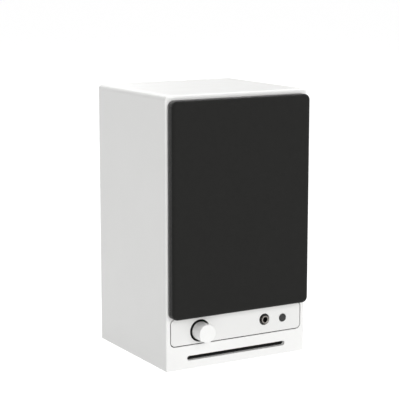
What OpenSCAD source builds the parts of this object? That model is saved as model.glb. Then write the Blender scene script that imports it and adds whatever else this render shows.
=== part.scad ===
// Powered bookshelf speaker: painted board cabinet, magnetic cloth grille, two-way drivers,
// front control strip and slot port, amplifier with its sockets on the back.
// +Z is up, the listener is on -Y. The origin is under the centre of the base pad.

/* [Cabinet] */
// Width of the cabinet
cab_w = 107; // [100:1:130]
// Depth of the cabinet, without the grille
cab_d = 96; // [94:1:120]
// Height of the cabinet, without the base pad
cab_h = 180; // [178:1:200]
// Radius of the cabinet's upright and bottom edges
edge_r = 1; // [0.6:0.1:2]
// Radius of the top's two long edges
shoulder_r = 3.6; // [1:0.1:4]
// Radius of the top's front and back edges
brow_r = 2.2; // [0.6:0.1:2.4]
// Thickness of the side and top panels
side_t = 8; // [6:0.5:9]
// Thickness of the bottom panel
floor_t = 6; // [5:0.5:6]
// Thickness of the front baffle
baffle_t = 9; // [8:0.5:10]
// Thickness of the rear panel
rear_t = 8; // [6:0.5:9]
// Thickness of the base pad
pad_t = 1.5; // [1:0.1:2]
// How far the base pad stands out of its recess
pad_out = 0.5; // [0.4:0.1:0.8]

/* [Grille] */
// Width of the grille
grille_w = 104; // [98:1:104]
// Height of the grille
grille_h = 141.4; // [139:0.2:141.4]
// How far the grille stands out from the baffle
grille_depth = 7; // [6.5:0.1:8]
// Corner radius of the grille, seen from the front
grille_r = 4; // [3:0.5:5]
// Radius of the grille's front edge
grille_edge_r = 1.8; // [1:0.1:2]
// Thickness of the cloth
cloth_t = 0.5; // [0.3:0.1:0.6]

/* [Drivers] */
// Height of the woofer's axis above the cabinet's bottom face
woofer_up = 85.5; // [84:0.5:86]
// Height of the tweeter's axis above the cabinet's bottom face
tweeter_up = 150.5; // [150:0.5:152]
// Outer radius of the woofer's flange
woofer_flange_r = 40; // [39:0.5:40]
// Outer radius of the tweeter's faceplate
tweeter_face_r = 19; // [18.5:0.5:19]

/* [Front controls] */
// Width of the control panel
panel_w = 100; // [98:0.2:101]
// Height of the control panel
panel_h = 17.8; // [17:0.1:17.8]
// Height of the control panel's centre above the cabinet's bottom face
panel_up = 25.5; // [25.3:0.05:25.5]
// Width of the groove around the control panel
groove_w = 0.7; // [0.3:0.1:0.8]
// Radius of the volume knob
knob_r = 6.1; // [5.8:0.1:6.6]
// How far the volume knob stands out
knob_out = 10; // [8:0.5:14]
// Width of the slot port's mouth
slot_w = 76; // [60:0.2:76]
// Height of the slot port's mouth
slot_h = 3.2; // [2.5:0.1:3.2]

/* [Back] */
// Width of the amplifier plate
amp_w = 84; // [82:1:86]
// Height of the amplifier plate
amp_h = 134; // [132:1:136]
// Distance between the two binding posts
post_pitch = 19; // [18:0.5:20]
// Length of the antenna beyond its hinge
whip_len = 57; // [40:1:57]

/* [Hidden] */
$fn = 64;
// A small overrun that lets a cut pass clean through a face
over = 0.5;

cab_bottom = pad_out;
cab_top = cab_bottom + cab_h;
front_y = -cab_d / 2;
rear_y = cab_d / 2;
inner_x = cab_w / 2 - side_t;
floor_top = cab_bottom + floor_t;
ceiling = cab_top - side_t;
baffle_back = front_y + baffle_t;
rear_inner = rear_y - rear_t;
pad_r = 4;
pad_w = 2 * inner_x - 10;
pad_d = cab_d - 25;
pad_gap = 0.25;

grille_gap = 0.2;
top_strip = 3.2;
grille_top = cab_top - top_strip;
grille_mid = grille_top - grille_h / 2;
grille_border = 6;
grille_bar_w = 4;
grille_bar_bottom = cab_bottom + 127;
grille_bar_top = grille_bar_bottom + grille_bar_w;
magnet_r = 2.5;
magnet_t = 3;
magnet_x = grille_w / 2 - 4.4;
magnet_up = grille_h / 2 - 3.8;

woofer_z = cab_bottom + woofer_up;
woofer_hole_r = 35.7;
woofer_flange_t = 2;
woofer_flange_gap = 0.3;
woofer_screw_r = 37.9;
woofer_shank_r = 1.2;
coil_r = 10;
pole_r = 9;
gap_r = 10.9;
top_plate_d = 26;
magnet_d = 30;
yoke_d = 40;
yoke_r = 26;
tweeter_z = cab_bottom + tweeter_up;
tweeter_hole_r = 14.4;
tweeter_face_t = 2.5;
tweeter_face_gap = 0.2;
tweeter_screw_r = 16.6;
tweeter_shank_r = 0.9;
tweeter_back_d = 2.85;
screw_len = 7.5;

panel_z = cab_bottom + panel_up;
panel_t = 2.5;
panel_r = 3;
window_w = 88;
window_h = 13.6;
knob_x = -28.3;
knob_z = cab_bottom + 25;
knob_gap = 1.4;
shaft_r = 3;
run_gap = 0.05;
jack_x = 21.6;
jack_z = cab_bottom + 25.9;
jack_hole_r = 4;
jack_ring_r = 2.6;
jack_ring_out = 1.2;
jack_floor_d = 1.7;
plug_r = 1.8;
button_x = 36.1;
button_z = cab_bottom + 25.2;
button_r = 2.6;
button_gap = 0.25;
button_out = 0.5;
button_stem_r = 1.5;
button_stem_end = 10.7;
board_t = 1.6;
control_board_d = 16;
slot_z = cab_bottom + 7.35;
channel_h = 3.4;
channel_wall = 2;
channel_len = 50;

amp_z = cab_bottom + 91.5;
amp_t = 2;
amp_window_w = amp_w - 8;
amp_window_h = amp_h - 8;
amp_screw_x = amp_w / 2 - 2;
amp_screw_up = amp_h / 2 - 2;
amp_shank_r = 1.1;
amp_gap = 0.3;
board_e = -16.4;
board_back_e = board_e - board_t;
input_x = -28;
output_x = -6;
rca_rows = [cab_bottom + 110.5, cab_bottom + 95.5];
rca_r = 4.15;
rca_neck_r = 3.9;
rca_inner_r = 3.3;
rca_len = 9;
aux_x = input_x;
aux_z = cab_bottom + 128.5;
aux_r = 3;
usb_x = 0;
usb_w = 8;
usb_h = 3;
usb_depth = 9;
top_row_z = cab_bottom + 146.5;
bass_x = input_x;
bass_slot_w = 7.2;
bass_slot_h = 3;
post_z = cab_bottom + 70.5;
post_r = 3;
post_len = 18;
post_hole_r = 2.05;
post_tail_r = 2.5;
nut_start = 4.8;
nut_end = 17.8;
dc_x = -24;
dc_r = 4.4;
dc_depth = 9;
power_x = 22;
power_row_z = cab_bottom + 42.5;
rocker_w = 13;
rocker_h = 19;
rocker_pin_r = 1.2;
antenna_x = 30;
antenna_r = 3;
spigot_r = 2.5;
knuckle_r = 4.6;
hinge_e = 16;
hinge_pin_r = 1.4;

// ---- Shared shapes ----

// Rectangle with round corners, centred
module rounded_rect(w, h, r) {
    square([w - 2 * r, h], center = true);
    square([w, h - 2 * r], center = true);
    for (sx = [-1, 1], sy = [-1, 1])
        translate([sx * (w / 2 - r), sy * (h / 2 - r)]) circle(r);
}

// Rectangle with round corners, the upper two of another radius
module shouldered_rect(w, h, r, upper_r) {
    translate([-w / 2, r - h / 2]) square([w, h - r - upper_r]);
    translate([r - w / 2, -h / 2]) square([w - 2 * r, h / 2]);
    translate([upper_r - w / 2, 0]) square([w - 2 * upper_r, h / 2]);
    for (sx = [-1, 1]) {
        translate([sx * (w / 2 - r), r - h / 2]) circle(r);
        translate([sx * (w / 2 - upper_r), h / 2 - upper_r]) circle(upper_r);
    }
}

// Slot with round ends, centred
module slot_2d(w, h) {
    square([w - h, h], center = true);
    for (s = [-1, 1])
        translate([s * (w - h) / 2, 0]) circle(h / 2);
}

// Box from one corner to the opposite one
module slab(low, high) {
    translate(low) cube(high - low);
}

// Cylinder between two depths on the local Z axis
module rod(r, from, to) {
    translate([0, 0, from]) cylinder(r = r, h = to - from);
}

// Tube between two depths on the local Z axis
module tube(r_out, r_in, from, to) {
    difference() {
        rod(r_out, from, to);
        rod(r_in, from - over, to + over);
    }
}

// Block centred on the local Z axis, between two depths
module block(w, h, from, to) {
    translate([-w / 2, -h / 2, from]) cube([w, h, to - from]);
}

// Rounded profile turned about the local Z axis
module turned(profile) {
    rotate_extrude() polygon(profile);
}

// Local +Z points into the cabinet from the front face; local +Y points down
module front_at(x, z) {
    translate([x, front_y, z]) rotate([-90, 0, 0]) children();
}

// Local +Z points out of the cabinet from the rear face; local +Y points down
module rear_at(x, z) {
    translate([x, rear_y, z]) rotate([-90, 0, 0]) children();
}

// Copies of the children on a circle about the local Z axis
module ring_of(count, r, start = 0) {
    for (i = [0 : count - 1])
        rotate(start + 360 * i / count) translate([r, 0, 0]) children();
}

// Points on an arc from angle a to angle b
function arc(cx, cy, r, a, b, steps) =
    [for (i = [0 : steps]) let (turn = a + (b - a) * i / steps) [cx + r * cos(turn), cy + r * sin(turn)]];

// ---- Cabinet ----

// The whole outer form of the cabinet, with every edge rounded
module cabinet_form() {
    translate([0, 0, cab_bottom + cab_h / 2]) intersection() {
        linear_extrude(cab_h, center = true) rounded_rect(cab_w, cab_d, edge_r);
        rotate([90, 0, 0]) linear_extrude(cab_d, center = true)
            shouldered_rect(cab_w, cab_h, edge_r, shoulder_r);
        rotate([90, 0, 90]) linear_extrude(cab_w, center = true)
            shouldered_rect(cab_d, cab_h, edge_r, brow_r);
    }
}

module side_panel(side) {
    x0 = side > 0 ? inner_x : -cab_w;
    x1 = side > 0 ? cab_w : -inner_x;
    intersection() {
        cabinet_form();
        slab([x0, baffle_back, 0], [x1, rear_inner, cab_top + 1]);
    }
}

module left_side_panel() {
    color("white") side_panel(-1);
}

module right_side_panel() {
    color("white") side_panel(1);
}

module top_panel() {
    color("white") slab([-inner_x, baffle_back, ceiling], [inner_x, rear_inner, cab_top]);
}

module bottom_panel() {
    color("white") difference() {
        slab([-inner_x, baffle_back, cab_bottom], [inner_x, rear_inner, floor_top]);
        linear_extrude(pad_t + pad_gap) rounded_rect(pad_w + 2 * pad_gap, pad_d + 2 * pad_gap, pad_r);
    }
}

module magnet_spots() {
    for (sx = [-1, 1], sz = [-1, 1])
        front_at(sx * magnet_x, grille_mid + sz * magnet_up) children();
}

module front_baffle() {
    color("white") difference() {
        intersection() {
            cabinet_form();
            slab([-cab_w, -cab_d, 0], [cab_w, baffle_back, cab_top + 1]);
        }
        front_at(0, woofer_z) {
            rod(woofer_hole_r, -over, baffle_t + over);
            rod(woofer_flange_r + woofer_flange_gap, -over, woofer_flange_t);
            ring_of(4, woofer_screw_r, 45) rod(woofer_shank_r, 0, baffle_t - 1);
        }
        front_at(0, tweeter_z) {
            rod(tweeter_hole_r, -over, baffle_t + over);
            rod(tweeter_face_r + tweeter_face_gap, -over, tweeter_face_t);
            ring_of(3, tweeter_screw_r, 90) rod(tweeter_shank_r, 0, baffle_t - 1);
        }
        front_at(0, panel_z) {
            translate([0, 0, -over]) linear_extrude(panel_t + over)
                rounded_rect(panel_w + 2 * groove_w, panel_h + 2 * groove_w, panel_r + groove_w);
            block(window_w, window_h, 0, baffle_t + over);
        }
        front_at(0, slot_z) translate([0, 0, -over])
            linear_extrude(baffle_t + 2 * over) slot_2d(slot_w, slot_h);
        magnet_spots() rod(magnet_r, -over, magnet_t);
    }
}

module rear_panel() {
    color("white") difference() {
        intersection() {
            cabinet_form();
            slab([-cab_w, rear_inner, 0], [cab_w, cab_d, cab_top + 1]);
        }
        rear_at(0, amp_z) {
            block(amp_w + 2 * amp_gap, amp_h + 2 * amp_gap, -amp_t, over);
            block(amp_window_w, amp_window_h, -rear_t - over, over);
        }
        amp_screw_spots() rod(amp_shank_r, -rear_t + 1, over);
    }
}

// Channel of the slot port: it stands on the bottom panel, which is its floor
module port_channel() {
    half = slot_w / 2;
    color("dimgray") difference() {
        slab([-half - channel_wall, baffle_back, floor_top],
             [half + channel_wall, baffle_back + channel_len, floor_top + channel_h + channel_wall]);
        slab([-half, baffle_back - over, floor_top - over],
             [half, baffle_back + channel_len + over, floor_top + channel_h]);
    }
}

module base_pad() {
    color("dimgray") linear_extrude(pad_t) rounded_rect(pad_w, pad_d, pad_r);
}

// ---- Grille ----

// Outer form of the grille, smaller all round by the inset
module grille_form(inset) {
    w = grille_w - 2 * inset;
    h = grille_h - 2 * inset;
    out = grille_depth - inset;
    edge = grille_edge_r - inset;
    depth = 2 * out;
    translate([0, front_y, grille_mid]) intersection() {
        rotate([90, 0, 0]) translate([0, 0, grille_gap])
            linear_extrude(out - grille_gap) rounded_rect(w, h, grille_r - inset);
        linear_extrude(h, center = true) rounded_rect(w, depth, edge);
        rotate([90, 0, 90]) linear_extrude(w, center = true) rounded_rect(depth, h, edge);
    }
}

module grille_frame() {
    side = grille_w / 2 - cloth_t - grille_border;
    low = grille_top - grille_h + cloth_t + grille_border;
    high = grille_top - cloth_t - grille_border;
    color("black") difference() {
        grille_form(cloth_t);
        slab([-side, -cab_d, low], [side, 0, grille_bar_bottom]);
        slab([-side, -cab_d, grille_bar_top], [side, 0, high]);
        magnet_spots() rod(magnet_r, -grille_gap - magnet_t, over);
    }
}

module grille_cloth() {
    color("black") difference() {
        grille_form(0);
        for (shift = [0, over])
            translate([0, shift, 0]) grille_form(cloth_t);
    }
}

module grille_magnets() {
    color("silver") magnet_spots() rod(magnet_r, -grille_gap - magnet_t, -grille_gap);
}

module baffle_magnets() {
    color("silver") magnet_spots() rod(magnet_r, 0, magnet_t);
}

// ---- Woofer: profiles are [radius, depth behind the cabinet's front face] ----

module woofer_basket() {
    profile = [
        [34.3, 0], [woofer_flange_r, 0], [woofer_flange_r, woofer_flange_t],
        [35.5, woofer_flange_t], [35.5, 6], [27, 16.2], [24.5, 16.2], [24.5, top_plate_d],
        [11.5, top_plate_d], [11.5, 24.8], [23.3, 24.8], [23.3, 15], [26.4, 15],
        [34.3, 5.6], [34.3, 3], [31.8, 3], [31.8, 1.8], [34.3, 1.8]
    ];
    window = 16;
    color("dimgray") front_at(0, woofer_z) difference() {
        turned(profile);
        ring_of(6, 22) translate([0, -window / 2, 7]) cube([window, window, 7]);
        ring_of(4, woofer_screw_r, 45) rod(woofer_shank_r + 0.3, -over, woofer_flange_t + over);
    }
}

module woofer_surround() {
    roll_mid = 28.85;
    roll_r = 2.95;
    skin = 0.5;
    profile = concat(
        [[34.2, 1.75], [34.2, 1.25]],
        arc(roll_mid, 1.25, roll_r, 0, -180, 16),
        [[24.4, 1.25], [24.4, 1.75]],
        arc(roll_mid, 1.75, roll_r - skin, -180, 0, 16)
    );
    color("black") front_at(0, woofer_z) turned(profile);
}

module woofer_cone() {
    profile = [[26, 1.85], [26, 2.4], [24, 2.4], [coil_r, 13.1], [coil_r, 12.4], [23.8, 1.85]];
    color("goldenrod") front_at(0, woofer_z) turned(profile);
}

module woofer_dust_cap() {
    base_r = 11;
    rise = 3.5;
    base_d = 11.55;
    skin = 0.4;
    ball_r = (base_r * base_r + rise * rise) / (2 * rise);
    color("black") front_at(0, woofer_z) intersection() {
        translate([0, 0, base_d - rise + ball_r]) difference() {
            sphere(ball_r);
            sphere(ball_r - skin);
        }
        rod(base_r, base_d - rise - 1, base_d);
    }
}

module woofer_voice_coil() {
    winding_r = coil_r + 0.4;
    end_d = 31.5;
    color("peru") front_at(0, woofer_z) {
        tube(coil_r, coil_r - 0.55, 12.4, end_d);
        tube(winding_r, coil_r - 0.3, 24.5, end_d);
    }
}

module woofer_spider() {
    top_d = 14.2;
    skin = 0.4;
    wave_in = 12.4;
    wave_out = 22.9;
    waves = 5;
    height = 0.75;
    steps = 60;
    rim_r = 26;
    wave = [for (i = [0 : steps])
        [wave_in + (wave_out - wave_in) * i / steps, height * sin(360 * waves * i / steps)]];
    profile = concat(
        [[coil_r + 0.05, top_d]],
        [for (p = wave) [p[0], top_d + p[1]]],
        [[rim_r, top_d], [rim_r, top_d + skin]],
        [for (i = [steps : -1 : 0]) [wave[i][0], top_d + skin + wave[i][1]]],
        [[coil_r + 0.05, top_d + skin]]
    );
    color("goldenrod") front_at(0, woofer_z) turned(profile);
}

module woofer_top_plate() {
    color("silver") front_at(0, woofer_z) tube(yoke_r, gap_r, top_plate_d, magnet_d);
}

module woofer_magnet() {
    color("darkgray") front_at(0, woofer_z) tube(29, 13.5, magnet_d, yoke_d);
}

module woofer_yoke() {
    color("silver") front_at(0, woofer_z) {
        rod(yoke_r, yoke_d, yoke_d + 4);
        rod(pole_r, top_plate_d - 0.5, yoke_d + over);
    }
}

// Screw that points along local +Z, with a domed socket head
module cap_screw(head_r, head_t, shank_r, length) {
    difference() {
        rod(head_r, -head_t, 0);
        translate([0, 0, -head_t - over]) cylinder(r = head_r * 0.5, h = head_t * 0.6 + over, $fn = 6);
    }
    rod(shank_r, 0, length);
}

module woofer_screws() {
    color("black") front_at(0, woofer_z)
        ring_of(4, woofer_screw_r, 45) cap_screw(2, 1.2, woofer_shank_r, screw_len);
}

// ---- Tweeter ----

module tweeter_faceplate() {
    profile = [[13.6, 0], [tweeter_face_r, 0], [tweeter_face_r, tweeter_face_t], [11.4, tweeter_face_t]];
    color("black") front_at(0, tweeter_z) difference() {
        turned(profile);
        ring_of(3, tweeter_screw_r, 90) rod(tweeter_shank_r + 0.2, -over, tweeter_face_t + over);
    }
}

module tweeter_surround() {
    roll_mid = 10.25;
    roll_r = 0.95;
    skin = 0.25;
    profile = concat(
        [[14, 2.8], [14, 2.55]],
        arc(roll_mid, 2.55, roll_r, 0, -180, 12),
        [[9.3, 2.8]],
        arc(roll_mid, 2.8, roll_r - skin, -180, 0, 12)
    );
    color("black") front_at(0, tweeter_z) turned(profile);
}

module tweeter_dome() {
    base_r = 9.2;
    rise = 2.8;
    base_d = 2.8;
    skin = 0.3;
    ball_r = (base_r * base_r + rise * rise) / (2 * rise);
    color("black") front_at(0, tweeter_z) intersection() {
        translate([0, 0, base_d - rise + ball_r]) difference() {
            sphere(ball_r);
            sphere(ball_r - skin);
        }
        rod(base_r, base_d - rise - 1, base_d);
    }
}

module tweeter_voice_coil() {
    color("peru") front_at(0, tweeter_z) {
        tube(9.2, 8.8, 2.8, 8.5);
        tube(9.5, 8.9, 5, 8);
    }
}

module tweeter_magnet() {
    color("silver") front_at(0, tweeter_z) rod(8.4, 4.4, 12);
}

module tweeter_cup() {
    color("dimgray") front_at(0, tweeter_z) difference() {
        rod(14.2, tweeter_back_d, 15);
        rod(10, tweeter_back_d - over, 12);
    }
}

module tweeter_screws() {
    color("black") front_at(0, tweeter_z)
        ring_of(3, tweeter_screw_r, 90) cap_screw(1.7, 1, tweeter_shank_r, screw_len);
}

// ---- Front controls ----

module control_panel() {
    stake_x = 41.5;
    stake_up = 4.6;
    color("white") difference() {
        front_at(0, panel_z) {
            linear_extrude(panel_t) rounded_rect(panel_w, panel_h, panel_r);
            for (sx = [-1, 1], sy = [-1, 1])
                translate([sx * stake_x, sy * stake_up, 0]) rod(2, panel_t - over, control_board_d);
        }
        front_at(knob_x, knob_z) rod(knob_r + knob_gap, -over, panel_t + over);
        front_at(jack_x, jack_z) rod(jack_hole_r, -over, panel_t + over);
        front_at(button_x, button_z) rod(button_r + button_gap, -over, panel_t + over);
    }
}

module volume_knob() {
    skirt_d = 1.2;
    bevel = 0.5;
    hollow_r = knob_r - 0.9;
    hub_r = 4.3;
    hollow_d = -5;
    socket_d = -8;
    profile = [
        [0, -knob_out], [knob_r - bevel, -knob_out], [knob_r, bevel - knob_out], [knob_r, skirt_d],
        [hollow_r, skirt_d], [hollow_r, hollow_d], [hub_r, hollow_d], [hub_r, skirt_d],
        [shaft_r, skirt_d], [shaft_r, socket_d], [0, socket_d]
    ];
    color("white") front_at(knob_x, knob_z) turned(profile);
}

module potentiometer_shaft() {
    color("silver") front_at(knob_x, knob_z) rod(shaft_r, -8, 12);
}

module potentiometer() {
    bushing_d = 5;
    body_w = 12;
    color("dimgray") front_at(knob_x, knob_z) difference() {
        union() {
            block(body_w, body_w, 9.5, control_board_d);
            rod(3.9, bushing_d, 10);
        }
        rod(shaft_r + run_gap, bushing_d - over, 12.5);
    }
}

module headphone_jack() {
    color("black") front_at(jack_x, jack_z) difference() {
        union() {
            rod(jack_hole_r - 0.1, jack_floor_d, 3);
            block(9, 9, panel_t + 0.1, control_board_d);
        }
        rod(plug_r, 0, 15.6);
    }
}

module headphone_jack_ring() {
    color("silver") front_at(jack_x, jack_z) tube(jack_ring_r, plug_r, -jack_ring_out, jack_floor_d);
}

module pairing_button() {
    color("dimgray") front_at(button_x, button_z) {
        rod(button_r, -button_out, 3.2);
        rod(button_r + 1, 2.7, 3.5);
        rod(button_stem_r, 3, button_stem_end);
    }
}

module button_switch() {
    body_w = 6;
    color("dimgray") front_at(button_x, button_z) {
        block(body_w, body_w, 12.5, control_board_d);
        rod(1.6, button_stem_end + 0.6, 13);
    }
}

module control_board() {
    color("darkgreen") front_at(0, panel_z)
        block(window_w, panel_h, control_board_d, control_board_d + board_t);
}

// ---- Back: depths are measured outwards from the cabinet's rear face ----

module amp_screw_spots() {
    for (spot = [[1, 1], [1, 0], [1, -1], [0, 1], [0, -1], [-1, 1], [-1, 0], [-1, -1]])
        rear_at(spot[0] * amp_screw_x, amp_z + spot[1] * amp_screw_up) children();
}

module rca_spots() {
    for (x = [input_x, output_x], z = rca_rows)
        rear_at(x, z) children();
}

module post_at(side) {
    rear_at(side * post_pitch / 2, post_z) children();
}

module amp_plate() {
    color("dimgray") difference() {
        rear_at(0, amp_z) block(amp_w, amp_h, -amp_t, 0);
        amp_screw_spots() plate_hole(amp_shank_r);
        rca_spots() plate_hole(rca_neck_r);
        rear_at(aux_x, aux_z) plate_hole(aux_r);
        rear_at(usb_x, top_row_z) plate_window(usb_w, usb_h, 0.2);
        rear_at(bass_x, top_row_z) plate_window(bass_slot_w, bass_slot_h, 0.1);
        for (side = [-1, 1])
            post_at(side) plate_hole(post_tail_r);
        rear_at(dc_x, power_row_z) plate_hole(dc_r);
        rear_at(power_x, power_row_z) plate_window(rocker_w, rocker_h, 0.1);
        rear_at(antenna_x, top_row_z) plate_hole(antenna_r);
    }
}

// Round hole through the amplifier plate for a shaft of radius r
module plate_hole(r) {
    rod(r + 0.1, -amp_t - over, over);
}

// Rectangular hole through the amplifier plate, wider than its part by the gap on each side
module plate_window(w, h, gap) {
    block(w + 2 * gap, h + 2 * gap, -amp_t - over, over);
}

module amp_plate_screws() {
    color("black") amp_screw_spots() rotate([180, 0, 0]) cap_screw(1.8, 1, amp_shank_r, 6.5);
}

module rca_shells() {
    color("silver") rca_spots() difference() {
        union() {
            rod(rca_r, 0, rca_len);
            rod(5.5, 0, 1.2);
            rod(rca_neck_r, -amp_t, over);
        }
        rod(rca_inner_r, -amp_t - over, rca_len + over);
    }
}

module rca_housings() {
    face_e = rca_len - 1.4;
    color("dimgray") rca_spots() difference() {
        union() {
            rod(rca_inner_r, -4, face_e);
            block(10, 12, board_e, -amp_t);
        }
        rod(1.6, -2, face_e + over);
    }
}

module aux_jack() {
    color("black") rear_at(aux_x, aux_z) difference() {
        union() {
            rod(aux_r, -4, 1);
            block(8, 9, board_e, -amp_t);
        }
        rod(plug_r, -13.5, 1 + over);
    }
}

module usb_port() {
    wall = 0.5;
    lip = 0.3;
    color("silver") rear_at(usb_x, top_row_z) {
        difference() {
            block(usb_w, usb_h, -usb_depth, lip);
            block(usb_w - 2 * wall, usb_h - 2 * wall, 1 - usb_depth, lip + over);
        }
        block(usb_w, usb_w, board_e, over - usb_depth);
        block(4.5, 0.7, 1 - over - usb_depth, -1);
    }
}

module bass_switch() {
    color("dimgray") rear_at(bass_x, top_row_z) difference() {
        block(13, 7, board_e, -amp_t);
        block(bass_slot_w, bass_slot_h, -5.2, -amp_t + over);
    }
}

module bass_switch_slider() {
    w = 3;
    rest_x = bass_x - (bass_slot_w - w) / 2 + 0.2;
    color("black") rear_at(rest_x, top_row_z) block(w, bass_slot_h - 0.4, -5, 1.4);
}

module post_bases() {
    color("gold") for (side = [-1, 1]) post_at(side) difference() {
        union() {
            rod(6.4, 0, 4.5);
            rod(post_r, 4, post_len);
            rod(post_tail_r, -9, over);
        }
        rod(post_hole_r, 5, post_len + over);
    }
}

// Knurled thumb nut that turns on its post
module post_nut(side) {
    post_at(side) difference() {
        rod(6.2, nut_start, nut_end);
        rod(post_r + run_gap, nut_start - over, nut_end + over);
        ring_of(12, 6.6) rod(0.9, 7, nut_end + over);
    }
}

module post_nut_red() {
    color("red") post_nut(1);
}

module post_nut_black() {
    color("black") post_nut(-1);
}

module dc_inlet() {
    lip = 0.6;
    color("black") rear_at(dc_x, power_row_z) {
        difference() {
            union() {
                rod(dc_r, -3, lip);
                block(9.6, 11, board_e, -amp_t);
            }
            rod(2.9, -dc_depth, lip + over);
        }
        rod(1.05, -dc_depth - over, -lip);
    }
}

module power_switch() {
    rim_t = 1.5;
    wall = 1;
    pin_end = 6.6;
    color("black") rear_at(power_x, power_row_z) difference() {
        union() {
            block(rocker_w + 2.4, rocker_h + 2.4, 0, rim_t);
            block(rocker_w, rocker_h, board_e, over);
        }
        block(rocker_w - 2 * wall, rocker_h - 2 * wall, -6, rim_t + over);
        rotate([0, 90, 0]) rod(rocker_pin_r + run_gap, -pin_end, pin_end);
    }
}

// Rocker with a hollow face, resting in its off position
module power_rocker() {
    off_tilt = 9;
    pin_end = 6.3;
    profile = [[-7.6, 3.6], [-7.2, -1], [0, -3], [7.2, -1], [7.6, 3.6], [0, 2.3]];
    color("black") rear_at(power_x, power_row_z) rotate([off_tilt, 0, 0]) {
        rotate([90, 0, 90]) linear_extrude(rocker_w - 2.4, center = true) polygon(profile);
        rotate([0, 90, 0]) rod(rocker_pin_r, -pin_end, pin_end);
    }
}

module antenna_base() {
    color("gold") rear_at(antenna_x, top_row_z) difference() {
        union() {
            cylinder(r = 5.6, h = 2, $fn = 6);
            rod(knuckle_r, 1.5, 6);
            rod(antenna_r, -8, over);
        }
        rod(spigot_r + run_gap, 1, 6 + over);
    }
}

module antenna_knuckle() {
    ear_in = 2.35;
    ear_t = 2.1;
    color("black") rear_at(antenna_x, top_row_z) {
        rod(spigot_r, 1.4, 7);
        rod(knuckle_r, 6.2, 11.6);
        for (s = [-1, 1])
            translate([s * (ear_in + ear_t / 2), 0, 0]) {
                translate([0, 0, hinge_e]) rotate([0, 90, 0]) rod(3.9, -ear_t / 2, ear_t / 2);
                block(ear_t, 6.2, 11, hinge_e);
            }
        translate([0, 0, hinge_e]) rotate([0, 90, 0]) rod(hinge_pin_r, -ear_in - 0.2, ear_in + 0.2);
    }
}

module antenna_whip() {
    tab_t = 4.2;
    tab_r = 3.7;
    tab_h = 6;
    root_r = 3.9;
    tip_r = 3.2;
    start = 5;
    color("black") rear_at(antenna_x, top_row_z) translate([0, 0, hinge_e]) {
        difference() {
            union() {
                rotate([0, 90, 0]) rod(tab_r, -tab_t / 2, tab_t / 2);
                translate([-tab_t / 2, 0, -tab_h / 2]) cube([tab_t, start + 1, tab_h]);
            }
            rotate([0, 90, 0]) rod(hinge_pin_r + run_gap, -tab_t, tab_t);
        }
        rotate([-90, 0, 0]) {
            translate([0, 0, start]) cylinder(r1 = root_r, r2 = tip_r, h = whip_len - start - tip_r);
            translate([0, 0, whip_len - tip_r]) sphere(tip_r);
        }
    }
}

// ---- Electronics and wiring ----

module main_board() {
    color("darkgreen") rear_at(0, amp_z) block(70, 118, board_back_e, board_e);
}

module standoffs() {
    color("gold") for (sx = [-1, 1], sz = [-1, 1])
        rear_at(sx * 32.5, amp_z + sz * 48) rod(2.4, board_e, -amp_t);
}

module heat_sink() {
    fins = 8;
    pitch = 4.8;
    fin_t = 1.6;
    h = 34;
    base_t = 3;
    fin_end = board_back_e - 14;
    w = pitch * (fins - 1) + fin_t;
    color("silver") rear_at(6, amp_z + 19) {
        block(w, h, board_back_e - base_t, board_back_e);
        for (i = [0 : fins - 1])
            translate([-w / 2 + fin_t / 2 + pitch * i, 0, 0])
                block(fin_t, h, fin_end, board_back_e - base_t + over);
    }
}

module capacitors() {
    color("black") {
        for (x = [-24, -9])
            rear_at(x, amp_z - 33) rod(6.3, board_back_e - 22, board_back_e);
        for (x = [6 : 8 : 30])
            rear_at(x, amp_z - 35) rod(3.2, board_back_e - 11, board_back_e);
    }
}

// Point on a cubic curve with four handles
function curve_point(h, t) =
    pow(1 - t, 3) * h[0] + 3 * pow(1 - t, 2) * t * h[1] + 3 * (1 - t) * t * t * h[2] + pow(t, 3) * h[3];

// Direction of the same curve
function curve_dir(h, t) =
    let (d = pow(1 - t, 2) * (h[1] - h[0]) + 2 * (1 - t) * t * (h[2] - h[1]) + t * t * (h[3] - h[2]))
    d / norm(d);

// Round lead along a cubic curve; side is a direction the lead never runs along
module lead(h, side, r) {
    rings = 16;
    sides = 8;
    points = [for (i = [0 : rings]) let (
            t = i / rings,
            c = curve_point(h, t),
            n = curve_dir(h, t),
            u0 = cross(n, side),
            u = u0 / norm(u0),
            v = cross(n, u)
        )
        for (j = [0 : sides - 1]) c + r * cos(360 * j / sides) * u + r * sin(360 * j / sides) * v];
    walls = [for (i = [0 : rings - 1], j = [0 : sides - 1]) let (
            a = i * sides + j,
            b = i * sides + (j + 1) % sides
        )
        each [[a, a + sides, b], [b, a + sides, b + sides]]];
    first = [for (j = [0 : sides - 1]) j];
    last = [for (j = [sides - 1 : -1 : 0]) rings * sides + j];
    polyhedron(points, concat(walls, [first], [last]));
}

module wiring() {
    board_y = rear_y + board_back_e;
    basket_y = front_y + 20;
    cup_y = front_y + 15;
    control_y = front_y + control_board_d + board_t;
    low = panel_z - 2;
    high = panel_z + 19;
    top = amp_z + 45;
    lead_r = 0.8;
    color("firebrick") {
        for (z = [-3, 3])
            lead([[-32, board_y, amp_z - 17 + z], [-32, 2, amp_z - 17 + z],
                  [-43, basket_y, woofer_z + z], [-24.5, basket_y, woofer_z + z]], [0, 0, 1], lead_r);
        for (x = [0, 6])
            lead([[24 + x, board_y, top], [24 + x, 0, top],
                  [x - 3, 0, tweeter_z], [x - 3, cup_y, tweeter_z]], [0, 0, 1], lead_r);
        for (x = [-6 : 3 : 3])
            lead([[x, control_y, low], [x, 0, low], [x, 0, high], [x, board_y, high]], [1, 0, 0], lead_r);
    }
}

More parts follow.
